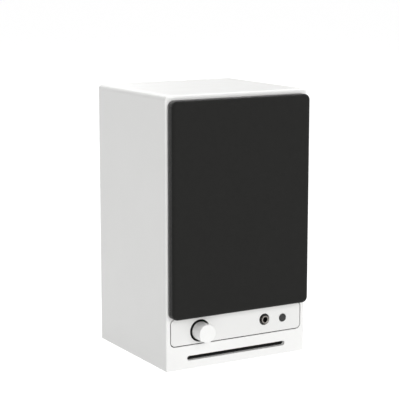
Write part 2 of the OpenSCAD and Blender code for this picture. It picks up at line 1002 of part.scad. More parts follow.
left_side_panel();
right_side_panel();
top_panel();
bottom_panel();
front_baffle();
rear_panel();
port_channel();
base_pad();
grille_frame();
grille_cloth();
grille_magnets();
baffle_magnets();
woofer_basket();
woofer_surround();
woofer_cone();
woofer_dust_cap();
woofer_voice_coil();
woofer_spider();
woofer_top_plate();
woofer_magnet();
woofer_yoke();
woofer_screws();
tweeter_faceplate();
tweeter_surround();
tweeter_dome();
tweeter_voice_coil();
tweeter_magnet();
tweeter_cup();
tweeter_screws();
control_panel();
volume_knob();
potentiometer_shaft();
potentiometer();
headphone_jack();
headphone_jack_ring();
pairing_button();
button_switch();
control_board();
amp_plate();
amp_plate_screws();
rca_shells();
rca_housings();
aux_jack();
usb_port();
bass_switch();
bass_switch_slider();
post_bases();
post_nut_red();
post_nut_black();
dc_inlet();
power_switch();
power_rocker();
antenna_base();
antenna_knuckle();
antenna_whip();
main_board();
heat_sink();
capacitors();
standoffs();
wiring();
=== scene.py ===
"""Looks of the powered bookshelf speaker: materials, cloth, flexing parts and fine detail."""

import math

import bmesh
import bpy
import numpy as np
from mathutils import Matrix, Vector


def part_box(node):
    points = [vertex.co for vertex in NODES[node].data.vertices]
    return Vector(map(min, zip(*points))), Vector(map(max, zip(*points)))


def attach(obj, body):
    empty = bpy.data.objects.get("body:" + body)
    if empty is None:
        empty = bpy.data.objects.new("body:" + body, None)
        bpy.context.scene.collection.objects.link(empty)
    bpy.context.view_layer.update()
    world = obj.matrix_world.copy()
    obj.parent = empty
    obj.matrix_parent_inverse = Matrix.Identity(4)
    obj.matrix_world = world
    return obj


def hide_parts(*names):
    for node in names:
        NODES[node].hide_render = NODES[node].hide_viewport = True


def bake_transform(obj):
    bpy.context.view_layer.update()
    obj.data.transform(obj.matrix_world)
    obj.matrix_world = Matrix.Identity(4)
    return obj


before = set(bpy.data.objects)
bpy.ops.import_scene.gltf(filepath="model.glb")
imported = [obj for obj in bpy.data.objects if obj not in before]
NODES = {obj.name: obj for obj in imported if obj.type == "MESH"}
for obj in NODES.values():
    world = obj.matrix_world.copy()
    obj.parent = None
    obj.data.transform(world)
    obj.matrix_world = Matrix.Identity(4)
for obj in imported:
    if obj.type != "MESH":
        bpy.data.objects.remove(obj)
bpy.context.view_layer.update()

MM = 0.001
CABINET = "cabinet"
FRONT_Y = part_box("front_baffle")[0].y
REAR_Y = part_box("rear_panel")[1].y
CABINET_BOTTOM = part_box("front_baffle")[0].z


def middle(node):
    """Centre of a CAD node's box."""
    low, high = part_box(node)
    return (low + high) / 2


WOOFER = middle("woofer_top_plate")
TWEETER = middle("tweeter_cup")
KNOB = middle("volume_knob")
JACK = middle("headphone_jack_ring")
BUTTON = middle("pairing_button")


# ---------------------------------------------------------------- shader helpers


def new_material(name, colour, roughness, metallic=0.0):
    """A material with a Principled shader."""
    material = bpy.data.materials.new(name)
    material.use_nodes = True
    shader = material.node_tree.nodes["Principled BSDF"]
    shader.inputs["Base Color"].default_value = (*colour, 1.0)
    shader.inputs["Roughness"].default_value = roughness
    shader.inputs["Metallic"].default_value = metallic
    return material


def shader_of(material):
    return material.node_tree.nodes["Principled BSDF"]


def source_of(material, socket):
    """What feeds one of the shader's sockets so far."""
    return shader_of(material).inputs[socket].links[0].from_socket


def add_node(material, kind, **settings):
    node = material.node_tree.nodes.new(kind)
    for key, value in settings.items():
        setattr(node, key, value)
    return node


def feed(material, target, source):
    """Links source to target when it is a socket, and sets the value otherwise."""
    if isinstance(source, bpy.types.NodeSocket):
        material.node_tree.links.new(source, target)
    else:
        target.default_value = source


def maths(material, operation, a, b=0.0):
    node = add_node(material, "ShaderNodeMath", operation=operation)
    feed(material, node.inputs[0], a)
    feed(material, node.inputs[1], b)
    return node.outputs[0]


def place(material):
    """X, Y and Z of the shaded point in the piece's own space, in metres."""
    coordinates = add_node(material, "ShaderNodeTexCoord")
    split = add_node(material, "ShaderNodeSeparateXYZ")
    material.node_tree.links.new(coordinates.outputs["Object"], split.inputs[0])
    return split.outputs[0], split.outputs[1], split.outputs[2]


def noise(material, size, detail=2.0, stretch=(1, 1, 1)):
    """Noise from 0 to 1 whose grains are about size metres across."""
    coordinates = add_node(material, "ShaderNodeTexCoord")
    mapping = add_node(material, "ShaderNodeMapping")
    mapping.inputs["Scale"].default_value = stretch
    texture = add_node(material, "ShaderNodeTexNoise")
    texture.inputs["Scale"].default_value = 1 / size
    texture.inputs["Detail"].default_value = detail
    links = material.node_tree.links
    links.new(coordinates.outputs["Object"], mapping.inputs["Vector"])
    links.new(mapping.outputs["Vector"], texture.inputs["Vector"])
    return texture.outputs["Fac"]


def spread(material, value, low, high, source_low=0.3, source_high=0.7):
    """Maps a value that runs between the source limits to one between low and high."""
    node = add_node(material, "ShaderNodeMapRange")
    for socket, number in zip(node.inputs[1:5], (source_low, source_high, low, high)):
        socket.default_value = number
    material.node_tree.links.new(value, node.inputs[0])
    return node.outputs[0]


def mix_colours(material, factor, first, second):
    node = add_node(material, "ShaderNodeMix", data_type="RGBA")
    feed(material, node.inputs[0], factor)
    for socket, colour in ((node.inputs[6], first), (node.inputs[7], second)):
        feed(material, socket, colour if isinstance(colour, bpy.types.NodeSocket) else (*colour, 1.0))
    return node.outputs[2]


def set_colour(material, source):
    feed(material, shader_of(material).inputs["Base Color"], source)


def set_roughness(material, source):
    feed(material, shader_of(material).inputs["Roughness"], source)


def set_bump(material, height, depth):
    """Bump from a height of 0 to 1 that stands for depth metres."""
    node = add_node(material, "ShaderNodeBump")
    node.inputs["Distance"].default_value = depth
    node.inputs["Strength"].default_value = 1.0
    feed(material, node.inputs["Height"], height)
    feed(material, shader_of(material).inputs["Normal"], node.outputs["Normal"])


def lighter(colour, factor):
    return tuple(min(1.0, c * factor) for c in colour)


def mottle(material, size, detail, first, second):
    """Sets a colour that wanders from first to second over patches about size metres across."""
    patches = spread(material, noise(material, size, detail), 0, 1)
    set_colour(material, mix_colours(material, patches, first, second))


def vary_sheen(material, size, detail, low, high):
    """Sets a roughness that wanders from low to high over patches about size metres across."""
    set_roughness(material, spread(material, noise(material, size, detail), low, high))


def weave(material, pitch):
    """Crossing threads seen from any side: 0 in the gaps, 1 on top of each thread's crossing."""
    x, y, z = place(material)
    across = maths(material, "ADD", x, y)
    along = maths(material, "ADD", z, y)
    waves = [
        maths(material, "SINE", maths(material, "MULTIPLY", value, 2 * math.pi / pitch))
        for value in (across, along)
    ]
    product = maths(material, "MULTIPLY", *waves)
    return maths(material, "MULTIPLY_ADD", product, 0.5)


# ---------------------------------------------------------------- materials


def painted(name, colour, roughness, peel=0.00003):
    """Sprayed satin paint: fine orange peel, uneven sheen, a slight tone from place to place."""
    material = new_material(name, colour, roughness)
    shader_of(material).inputs["Specular IOR Level"].default_value = 0.4
    mottle(material, 0.05, 2, colour, lighter(colour, 0.985))
    vary_sheen(material, 0.012, 4, roughness - 0.04, roughness + 0.05)
    set_bump(material, noise(material, 0.0011, 3), peel)
    return material


def step_at(material, value, edge, softness=0.0001):
    """0 below the edge and 1 above it, in metres."""
    return spread(material, value, 0, 1, edge - softness, edge + softness)


def cabinet_board(name, inner, inner_low, inner_high):
    """Fibreboard, painted on the cabinet's outside; inner is the colour of its other faces, partly painted
    shade on the baffle.
    """
    material = painted(name, WHITE, 0.42)
    paint = source_of(material, "Base Color")
    sheen = source_of(material, "Roughness")
    x, y, z = place(material)
    # The port slot counts as further forward, so that the paint reaches deeper into it
    in_slot = maths(material, "SUBTRACT", 1.0, step_at(material, z, SLOT_TOP))
    deeper = maths(material, "MULTIPLY", in_slot, SLOT_REACH - PAINT_REACH)
    from_front = maths(material, "SUBTRACT", y, deeper)
    painted_above = (
        (maths(material, "ABSOLUTE", x), SIDE_X - SHOULDER_REACH),
        (z, CABINET_TOP - SHOULDER_REACH),
        (y, REAR_Y - PAINT_REACH),
    )
    painted_below = ((z, CABINET_BOTTOM + PAINT_REACH), (from_front, FRONT_Y + PAINT_REACH))
    outside = 0.0
    for value, limit in painted_above:
        outside = maths(material, "MAXIMUM", step_at(material, value, limit), outside)
    for value, limit in painted_below:
        below = maths(material, "SUBTRACT", 1.0, step_at(material, value, limit))
        outside = maths(material, "MAXIMUM", outside, below)
    fibres = spread(material, noise(material, 0.0009, 4, (1, 0.4, 1)), 0, 1)
    board = mix_colours(material, fibres, lighter(inner, inner_low), lighter(inner, inner_high))
    set_colour(material, mix_colours(material, outside, board, paint))
    rough = add_node(material, "ShaderNodeMix")
    for socket, source in zip((0, 2, 3), (outside, BOARD_ROUGHNESS, sheen)):
        feed(material, rough.inputs[socket], source)
    set_roughness(material, rough.outputs[0])
    return material


def knob_with_gap_shade(name, colour, gap_shade, edge):
    """Painted knob whose side, from the edge back into the gap round it, carries painted shade."""
    material = painted(name, colour, 0.36, 0.00001)
    behind = step_at(material, place(material)[1], edge)
    # Painted shade: behind the edge, the knob's side takes the dark colour that the gap round it shows
    set_colour(material, mix_colours(material, behind, source_of(material, "Base Color"), gap_shade))
    return material


def moulded(name, colour, roughness, grain=0.0004, depth=0.00003):
    """Moulded plastic with a spark-eroded grain."""
    material = new_material(name, colour, roughness)
    mottle(material, 0.02, 3, lighter(colour, 0.9), lighter(colour, 1.1))
    vary_sheen(material, 0.006, 4, roughness - 0.06, roughness + 0.06)
    set_bump(material, noise(material, grain, 4), depth)
    return material


def phono_inserts(name, body, upper, lower):
    """Housings whose mouths, behind the plate, have one colour in the upper row and one in the lower."""
    material = moulded(name, body, 0.4)
    _, y, z = place(material)
    mouths = mix_colours(material, step_at(material, z, PHONO_MIDDLE_Z), lower, upper)
    behind = step_at(material, y, REAR_Y)
    set_colour(material, mix_colours(material, behind, source_of(material, "Base Color"), mouths))
    return material


def powder_coated(name, colour):
    return moulded(name, colour, 0.55, grain=0.0007, depth=0.00006)


def plated(name, colour, roughness, streak=(1, 12, 1)):
    """Plated metal with faint drawn marks."""
    material = new_material(name, colour, roughness, metallic=1.0)
    marks = noise(material, 0.0006, 3, streak)
    set_roughness(material, spread(material, marks, roughness * 0.7, roughness * 1.4))
    mottle(material, 0.008, 3, lighter(colour, 0.92), colour)
    set_bump(material, marks, 0.000004)
    return material


def woven(name, colour, thread_gap_shade, pitch, depth, roughness=0.9, sheen=0.0, cloudiness=0.1):
    """Cloth of crossing threads, with painted shade between them."""
    material = new_material(name, colour, roughness)
    shader = shader_of(material)
    shader.inputs["Sheen Weight"].default_value = sheen
    shader.inputs["Sheen Roughness"].default_value = 0.3
    shader.inputs["Specular IOR Level"].default_value = 0.2
    threads = weave(material, pitch)
    clouds = spread(material, noise(material, pitch * 3, 3), 1 - cloudiness, 1 + cloudiness)
    shade = maths(material, "MULTIPLY", threads, clouds)
    # Painted shade: the gaps between threads take the darker colour
    set_colour(material, mix_colours(material, shade, thread_gap_shade, colour))
    fuzz = maths(material, "MULTIPLY", noise(material, pitch * 0.3, 3), 0.35)
    set_bump(material, maths(material, "ADD", threads, fuzz), depth)
    return material


def rubbery(name, colour, roughness=0.6):
    material = new_material(name, colour, roughness)
    mottle(material, 0.004, 4, lighter(colour, 0.85), lighter(colour, 1.2))
    vary_sheen(material, 0.003, 3, roughness - 0.08, roughness + 0.1)
    set_bump(material, noise(material, 0.0003, 3), 0.00002)
    return material


def wound(name, colour, pitch):
    """Enamelled wire laid side by side along Y, with painted shade in the grooves between turns."""
    material = new_material(name, colour, 0.3, metallic=1.0)
    turns = maths(material, "SINE", maths(material, "MULTIPLY", place(material)[1], 2 * math.pi / pitch))
    turns = maths(material, "MULTIPLY_ADD", turns, 0.5)
    # Painted shade: the grooves between turns are darkened
    set_colour(material, mix_colours(material, turns, lighter(colour, 0.35), colour))
    set_bump(material, turns, pitch * 0.3)
    return material


def circuit_board():
    """Green solder mask over copper tracks laid square to each other."""
    mask, track = (0.012, 0.1, 0.04), (0.03, 0.2, 0.075)
    cell = 0.006
    material = new_material("circuit_board_mask", mask, 0.35)
    coordinates = add_node(material, "ShaderNodeTexCoord")
    cells = add_node(material, "ShaderNodeTexVoronoi", distance="CHEBYCHEV", feature="F2")
    cells.inputs["Scale"].default_value = 1 / cell
    material.node_tree.links.new(coordinates.outputs["Object"], cells.inputs["Vector"])
    near = maths(material, "PINGPONG", maths(material, "MULTIPLY", cells.outputs["Distance"], 4.0), 0.5)
    tracks = spread(material, near, 0, 1, 0.2, 0.3)
    set_colour(material, mix_colours(material, tracks, mask, track))
    set_bump(material, tracks, 0.00003)
    return material


def ferrite():
    material = new_material("sintered_ferrite", (0.035, 0.035, 0.038), 0.5)
    mottle(material, 0.002, 5, (0.025, 0.025, 0.028), (0.05, 0.05, 0.053))
    set_bump(material, noise(material, 0.0006, 5), 0.00006)
    return material


def tinted(name, colour):
    material = moulded(name, colour, 0.22, grain=0.002, depth=0.000008)
    shader_of(material).inputs["Coat Weight"].default_value = 0.5
    return material


WHITE = (0.76, 0.76, 0.75)
PANEL_WHITE = (0.7, 0.7, 0.69)
BLACK = (0.012, 0.012, 0.0125)
BOARD_ROUGHNESS = 0.9
SIDE_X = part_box("front_baffle")[1].x
CABINET_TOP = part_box("front_baffle")[1].z
PHONO_MIDDLE_Z = middle("rca_housings").z
# How far the paint reaches from the outside: round plain edges, round the shoulders, into the port slot
PAINT_REACH = 0.9 * MM
SHOULDER_REACH = 1.4 * MM
SLOT_REACH = 3.0 * MM
# Height below which the baffle's front opening is the port slot
SLOT_TOP = CABINET_BOTTOM + 11 * MM
# Where the painted shade on the knob's side starts, in the gap round the knob
GAP_SHADE_Y = FRONT_Y - 0.4 * MM
LOOKS = {
    "paint": cabinet_board("cabinet_board_painted", (0.3, 0.2, 0.12), 0.8, 1.2),
    # Black inner faces of the baffle: a black stain inside the port slot, and painted shade in the groove
    # round the control panel and in the hole behind the knob
    "baffle": cabinet_board("baffle_board_painted", (0.04, 0.04, 0.04), 0.8, 1.4),
    "panel": painted("control_panel_white", PANEL_WHITE, 0.4, 0.000015),
    "knob": knob_with_gap_shade("knob_white", WHITE, BLACK, GAP_SHADE_Y),
    "cloth": woven(
        "grille_cloth_black", (0.0185, 0.0185, 0.0172), (0.0056, 0.0056, 0.0054), 0.0009, 0.00012,
        sheen=0.4,
    ),
    "plastic": moulded("black_plastic", BLACK, 0.5),
    "phono": phono_inserts("phono_inserts", BLACK, (0.7, 0.7, 0.68), (0.42, 0.015, 0.012)),
    "duct": moulded("port_plastic", (0.045, 0.045, 0.046), 0.5),
    "button": moulded("button_plastic", (0.0115, 0.0115, 0.0112), 0.45),
    "gloss": moulded("black_satin_plastic", (0.015, 0.015, 0.016), 0.3, grain=0.002, depth=0.00001),
    "rubber": rubbery("surround_rubber", (0.018, 0.018, 0.018)),
    "foam": rubbery("pad_rubber", (0.03, 0.03, 0.03), 0.85),
    "coat": powder_coated("black_powder_coat", (0.018, 0.018, 0.019)),
    "cone": woven(
        "cone_weave", (0.62, 0.47, 0.16), (0.3, 0.2, 0.05), 0.0022, 0.0001, roughness=0.42, cloudiness=0.25,
    ),
    "cap": rubbery("dust_cap_paper", (0.02, 0.02, 0.021), 0.45),
    "silk": woven(
        "dome_silk", (0.02, 0.02, 0.021), (0.008, 0.008, 0.008), 0.0005, 0.00003, roughness=0.6, sheen=0.2,
    ),
    "spider": woven(
        "spider_cloth", (0.55, 0.36, 0.13), (0.25, 0.15, 0.05), 0.0009, 0.0001, roughness=0.8,
    ),
    "coil": wound("coil_copper", (0.72, 0.33, 0.16), 0.00025),
    "zinc": plated("zinc_plated_steel", (0.62, 0.62, 0.6), 0.35),
    "nickel": plated("nickel_plate", (0.74, 0.72, 0.68), 0.22),
    "gunmetal": plated("dark_nickel_plate", (0.3, 0.28, 0.26), 0.3),
    "gold": plated("gold_plate", (0.85, 0.6, 0.24), 0.22),
    "aluminium": plated("extruded_aluminium", (0.78, 0.78, 0.79), 0.38, (1, 1, 10)),
    "ferrite": ferrite(),
    "board": circuit_board(),
    "red": tinted("red_plastic", (0.5, 0.012, 0.012)),
    "sleeve": moulded("capacitor_sleeve", (0.02, 0.03, 0.06), 0.35, grain=0.003, depth=0.00001),
    "nylon": moulded("nylon_natural", (0.7, 0.68, 0.6), 0.45),
    "lead_red": rubbery("lead_sleeve_red", (0.42, 0.02, 0.02), 0.45),
    "lead_black": rubbery("lead_sleeve_black", (0.02, 0.02, 0.02), 0.45),
    "lead_grey": rubbery("lead_sleeve_grey", (0.3, 0.3, 0.31), 0.45),
}

NODE_LOOKS = {
    "paint": ["left_side_panel", "right_side_panel", "top_panel", "bottom_panel", "rear_panel"],
    "baffle": ["front_baffle"],
    "panel": ["control_panel"],
    "plastic": [
        "grille_frame", "tweeter_faceplate", "potentiometer", "headphone_jack",
        "aux_jack", "bass_switch", "bass_switch_slider", "dc_inlet", "power_switch", "button_switch",
        "antenna_knuckle", "antenna_whip",
    ],
    "duct": ["port_channel"],
    "phono": ["rca_housings"],
    "gloss": ["power_rocker", "post_nut_black"],
    "foam": ["base_pad"],
    "coat": [
        "woofer_basket", "woofer_screws", "tweeter_screws", "tweeter_cup", "amp_plate", "amp_plate_screws",
    ],
    "cone": ["woofer_cone"],
    "cap": ["woofer_dust_cap"],
    "silk": ["tweeter_dome"],
    "coil": ["woofer_voice_coil", "tweeter_voice_coil"],
    "zinc": ["woofer_top_plate", "woofer_yoke", "potentiometer_shaft"],
    "nickel": ["grille_magnets", "baffle_magnets", "rca_shells", "usb_port", "tweeter_magnet"],
    "gold": ["post_bases", "antenna_base", "standoffs"],
    "aluminium": ["heat_sink"],
    "ferrite": ["woofer_magnet"],
    "board": ["main_board", "control_board"],
    "red": ["post_nut_red"],
}

# Edge rounding of the carried-over nodes, in millimetres
NODE_EDGES = {
    0.25: ["control_panel", "power_switch", "antenna_knuckle", "amp_plate"],
    0.4: [
        "post_nut_red", "post_nut_black", "power_rocker",
        "woofer_magnet", "woofer_top_plate", "woofer_yoke",
    ],
    0.15: [
        "rca_shells", "bass_switch_slider", "antenna_base", "heat_sink", "main_board", "control_board",
    ],
}


def dress(node, look):
    """Gives a CAD node its material, in every slot."""
    slots = NODES[node].material_slots
    for slot in slots:
        slot.material = LOOKS[look]
    if not slots:
        NODES[node].data.materials.append(LOOKS[look])


def round_edges(node, width):
    """Rounds a CAD node's sharp edges with modifiers; its own mesh stays as it is."""
    weld = NODES[node].modifiers.new("join_faces", "WELD")
    weld.merge_threshold = 0.002 * MM
    bevel = NODES[node].modifiers.new("soft_edges", "BEVEL")
    bevel.width = width
    bevel.segments = 2
    bevel.limit_method = "ANGLE"
    bevel.angle_limit = math.radians(40)
    bevel.harden_normals = True


for look, nodes in NODE_LOOKS.items():
    for node in nodes:
        dress(node, look)
for width, nodes in NODE_EDGES.items():
    for node in nodes:
        round_edges(node, width * MM)


# ---------------------------------------------------------------- mesh helpers


def make_piece(name, vertices, faces, look, sharp=35):
    """A smooth-shaded mesh object whose edges over the sharp angle stay crisp."""
    mesh = bpy.data.meshes.new(name)
    mesh.from_pydata([tuple(v) for v in vertices], [], faces)
    work = bmesh.new()
    work.from_mesh(mesh)
    bmesh.ops.remove_doubles(work, verts=work.verts, dist=1e-7)
    bmesh.ops.recalc_face_normals(work, faces=work.faces)
    work.to_mesh(mesh)
    work.free()
    mesh.shade_smooth()
    mesh.set_sharp_from_angle(angle=math.radians(sharp))
    mesh.materials.append(LOOKS[look])
    piece = bpy.data.objects.new(name, mesh)
    bpy.context.scene.collection.objects.link(piece)
    return piece


def stand_for(piece, body, slot, *nodes):
    """The piece rides on a body and stands for the CAD nodes, which it hides; slot is not used."""
    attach(piece, body)
    if nodes:
        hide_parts(*nodes)


def fillet(points, radii, steps=5):
    """Outline with its corners rounded: radii holds one radius for each point, 0 for a sharp one."""
    outline = []
    count = len(points)
    for i, (point, radius) in enumerate(zip(points, radii)):
        corner = Vector(point)
        if radius == 0:
            outline.append(corner)
            continue
        before = (Vector(points[i - 1]) - corner).normalized()
        after = (Vector(points[(i + 1) % count]) - corner).normalized()
        half = before.angle(after) / 2
        reach = radius / math.tan(half)
        centre = corner + (before + after).normalized() * (radius / math.sin(half))
        start = corner + before * reach - centre
        end = corner + after * reach - centre
        turn = start.angle_signed(end)
        for k in range(steps + 1):
            angle = -turn * k / steps
            outline.append(centre + Matrix.Rotation(angle, 2) @ start)
    return outline


def lathe(profile, centre, y0, segments=96, closed=True):
    """Vertices and faces of a profile of (radius, depth) in millimetres, turned about an axis along Y."""
    vertices, faces, rows = [], [], []
    for radius, depth in profile:
        count = 1 if radius < 1e-6 else segments
        rows.append(range(len(vertices), len(vertices) + count))
        for k in range(count):
            angle = 2 * math.pi * k / segments
            vertices.append((
                centre.x + radius * MM * math.cos(angle),
                y0 + depth * MM,
                centre.z + radius * MM * math.sin(angle),
            ))
    pairs = list(zip(rows, rows[1:])) + ([(rows[-1], rows[0])] if closed else [])
    for a, b in pairs:
        if len(a) == 1 and len(b) == 1:
            continue
        for k in range(segments):
            n = (k + 1) % segments
            corners = [a[k % len(a)], a[n % len(a)], b[n % len(b)], b[k % len(b)]]
            faces.append(list(dict.fromkeys(corners)))
    return vertices, faces


def turned_piece(name, profile, centre, y0, look, segments=96, closed=True):
    """A lathed piece; a closed profile is one whose end joins its start."""
    return make_piece(name, *lathe(profile, centre, y0, segments, closed), look)


def flex(piece):
    """Bakes the placement of a ring, which sits between the cabinet and its moving part, into its mesh."""
    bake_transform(piece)


def half_circle(centre_r, depth, radius, steps=20):
    """Points of a half roll that bulges towards the listener, from its outer to its inner edge."""
    return [
        (centre_r + radius * math.cos(math.pi * k / steps), depth - radius * math.sin(math.pi * k / steps))
        for k in range(steps + 1)
    ]


# ---------------------------------------------------------------- grille cloth


def rounded_loop(width, height, radius, per_corner=10, per_side=12):
    """Points round a rectangle with round corners, centred on 0, evenly spaced on each stretch."""
    points = []
    corners = [(1, 1, 0), (-1, 1, 90), (-1, -1, 180), (1, -1, 270)]
    for sx, sz, start in corners:
        cx, cz = sx * (width / 2 - radius), sz * (height / 2 - radius)
        for k in range(per_corner + 1):
            angle = math.radians(start + 90 * k / per_corner)
            points.append((cx + radius * math.cos(angle), cz + radius * math.sin(angle)))
    loop = []
    for i, point in enumerate(points):
        following = points[(i + 1) % len(points)]
        loop.append(point)
        if (i + 1) % (per_corner + 1) == 0:
            for k in range(1, per_side):
                share = k / per_side
                loop.append(tuple(a + (b - a) * share for a, b in zip(point, following)))
    return loop


def grille_skin():
    """Cloth drawn over the frame: down its sides, round its front edge and across the windows.

    It dips a little across the windows, but not over the bar between them.
    """
    low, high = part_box("grille_cloth")
    width, height = (high.x - low.x) / MM, (high.z - low.z) / MM
    depth = (high.y - low.y) / MM
    centre = (low + high) / 2
    corner, edge, least_corner = 4.0, 1.8, 0.4
    sag, frame_border, tightening, bar_reach = 0.12, 6.5, 12, 5
    rings = [(0.0, depth), (0.0, depth * 0.66), (0.0, depth * 0.4), (0.0, edge)]
    for angle in (math.radians(15 * k) for k in range(1, 7)):
        rings.append((edge * (1 - math.cos(angle)), edge * (1 - math.sin(angle))))
    rings += [(inset, 0.0) for inset in (3, 4.5, 6.5, 9, 12, 16, 21, 27, 34, 42, 49)]
    vertices, faces = [], []
    for inset, back in rings:
        radius = max(corner - inset, least_corner)
        for x, z in rounded_loop(width - 2 * inset, height - 2 * inset, radius):
            tight = min(1.0, max(0.0, (inset - frame_border) / tightening))
            from_bar = (z * MM + centre.z - BAR_Z) / (bar_reach * MM)
            dip = sag * tight * (1 - math.exp(-from_bar ** 2))
            vertices.append((centre.x + x * MM, low.y + (back + dip) * MM, centre.z + z * MM))
    count = len(vertices) // len(rings)
    for r in range(len(rings) - 1):
        for k in range(count):
            n = (k + 1) % count
            a, b = r * count, (r + 1) * count
            faces.append([a + k, a + n, b + n, b + k])
    faces.append([(len(rings) - 1) * count + k for k in range(count)])
    piece = make_piece("grille_cloth_skin", vertices, faces, "cloth", sharp=80)
    thick = piece.modifiers.new("cloth_thickness", "SOLIDIFY")
    thick.thickness = 0.42 * MM
    thick.offset = -1
    stand_for(piece, "grille", "grille_fabric", "grille_cloth")


# Height of the grille frame's bar, between the two drivers
BAR_Z = (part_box("tweeter_faceplate")[0].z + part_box("woofer_basket")[1].z) / 2
grille_skin()


# ---------------------------------------------------------------- drivers


def woofer_soft_parts():
    """Rubber half-roll surround and corrugated spider, which flex between the basket and the cone."""
    roll_middle, roll_r, face, skin = 28.85, 2.95, 1.25, 0.5
    top = [(34.2, face), (32.6, face)] + half_circle(roll_middle, face, roll_r) + [(25.2, 1.3), (24.5, 1.3)]
    under = [(24.5, 1.8), (25.2, 1.8)] + half_circle(roll_middle, face + skin, roll_r - skin)[::-1]
    under += [(32.6, face + skin), (34.2, face + skin)]
    surround = turned_piece("woofer_surround_roll", top + under, WOOFER, FRONT_Y, "rubber", segments=120)
    flex(surround)
    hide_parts("woofer_surround")

    inner, outer, waves, height, thick, depth = 12.4, 22.9, 5, 0.75, 0.4, 14.2
    steps = 80
    line = [(10.1, depth), (11.4, depth)]
    for k in range(steps + 1):
        share = k / steps
        wave = height * math.sin(2 * math.pi * waves * share)
        line.append((inner + (outer - inner) * share, depth + wave))
    line += [(24.0, depth), (25.9, depth)]
    profile = line + [(r, d + thick) for r, d in reversed(line)]
    spider = turned_piece("woofer_spider_cloth", profile, WOOFER, FRONT_Y, "spider")
    flex(spider)
    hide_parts("woofer_spider")


def tweeter_soft_part():
    """Half roll of coated silk round the dome."""
    roll_middle, roll_r, face, back, skin, steps = 10.25, 0.95, 2.55, 2.8, 0.25, 14
    top = [(13.9, face)] + half_circle(roll_middle, face, roll_r, steps)
    under = [(9.35, back)] + half_circle(roll_middle, back, roll_r - skin, steps)[::-1] + [(13.9, back)]
    roll = turned_piece("tweeter_surround_roll", top + under, TWEETER, FRONT_Y, "silk")
    flex(roll)
    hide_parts("tweeter_surround")


woofer_soft_parts()
tweeter_soft_part()


# ---------------------------------------------------------------- front controls


def volume_knob():
    """Plain turned knob, hollow behind, with a softly broken front edge."""
    low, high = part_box("volume_knob")
    front = (low.y - FRONT_Y) / MM
    back = (high.y - FRONT_Y) / MM
    radius = (high.x - low.x) / 2 / MM
    hollow, hub, bore = radius - 0.9, 4.3, 3.05
    hollow_floor, bore_floor = -5, -7.95
    points = [
        (0, front), (radius, front), (radius, back), (hollow, back), (hollow, hollow_floor),
        (hub, hollow_floor), (hub, back), (bore, back), (bore, bore_floor), (0, bore_floor),
    ]
    outline = fillet(points, [0, 0.55, 0.2, 0.1, 0.3, 0.3, 0.1, 0.1, 0, 0])
    knob = turned_piece("volume_knob_cap", outline, KNOB, FRONT_Y, "knob", segments=160, closed=False)
    stand_for(knob, "knob", "white_plastic", "volume_knob")


def jack_ring():
    """Ring round the headphone jack, standing a little proud of the panel."""
    inner, outer, front, back = 1.8, 2.6, -1.2, 1.7
    points = [(inner, front), (outer, front), (outer, back), (inner, back)]
    outline = fillet(points, [0.3, 0.2, 0.05, 0.05])
    ring = turned_piece("headphone_socket_ring", outline, JACK, FRONT_Y, "gunmetal")
    stand_for(ring, CABINET, "nickel", "headphone_jack_ring")


def round_button():
    """Button with a slightly dished cap, a retaining flange and a stem."""
    cap_r, flange_r, stem_r = 2.6, 3.6, 1.5
    front, flange, flange_back, end = -0.5, 2.7, 3.5, 10.7
    points = [
        (0, front + 0.08), (2.0, front), (cap_r, front), (cap_r, flange), (flange_r, flange),
        (flange_r, flange_back), (stem_r, flange_back), (stem_r, end), (0, end),
    ]
    outline = fillet(points, [0, 0, 0.2, 0.1, 0.15, 0.15, 0.2, 0.2, 0])
    button = turned_piece("pairing_button_cap", outline, BUTTON, FRONT_Y, "button", closed=False)
    stand_for(button, "button", "grey_plastic", "pairing_button")


volume_knob()
jack_ring()
round_button()


# ---------------------------------------------------------------- electronics


def merged(shapes):
    """One list of vertices and one of faces from several shapes."""
    vertices, faces = [], []
    for shape_vertices, shape_faces in shapes:
        start = len(vertices)
        vertices += shape_vertices
        faces += [[start + i for i in face] for face in shape_faces]
    return vertices, faces


def brick(centre, size, chamfer=0.3):
    """A box in millimetres whose front edges, towards -Y, are chamfered."""
    half_x, half_y, half_z = (side / 2 for side in size)
    vertices = []
    for y, inset in ((half_y, 0), (-half_y + chamfer, 0), (-half_y, chamfer)):
        for sx, sz in ((-1, -1), (1, -1), (1, 1), (-1, 1)):
            corner = (centre[0] + sx * (half_x - inset), centre[1] + y, centre[2] + sz * (half_z - inset))
            vertices.append(tuple(MM * c for c in corner))
    faces = [[3, 2, 1, 0], [8, 9, 10, 11]]
    faces += [[a + k, a + (k + 1) % 4, a + 4 + (k + 1) % 4, a + 4 + k] for a in (0, 4) for k in range(4)]
    return vertices, faces


def bezier(handles, steps=28):
    """Points of a cubic curve."""
    a, b, c, d = (Vector(h) for h in handles)
    points = []
    for t in (k / steps for k in range(steps + 1)):
        points.append(a * (1 - t) ** 3 + b * 3 * t * (1 - t) ** 2 + c * 3 * t * t * (1 - t) + d * t ** 3)
    return points


def tube_along(points, radius, sides=12):
    """Round lead through the points, its rings turned as little as can be."""
    vertices, faces = [], []
    normal = None
    for i, point in enumerate(points):
        direction = (points[min(i + 1, len(points) - 1)] - points[max(i - 1, 0)]).normalized()
        normal = direction.orthogonal() if normal is None else normal - direction * normal.dot(direction)
        normal.normalize()
        side = direction.cross(normal)
        for k in range(sides):
            angle = 2 * math.pi * k / sides
            vertices.append(tuple(point + (normal * math.cos(angle) + side * math.sin(angle)) * radius))
    for i in range(len(points) - 1):
        for k in range(sides):
            n = (k + 1) % sides
            a, b = i * sides, (i + 1) * sides
            faces.append([a + k, a + n, b + n, b + k])
    faces += [list(range(sides))[::-1], list(range(len(vertices) - sides, len(vertices)))]
    return vertices, faces


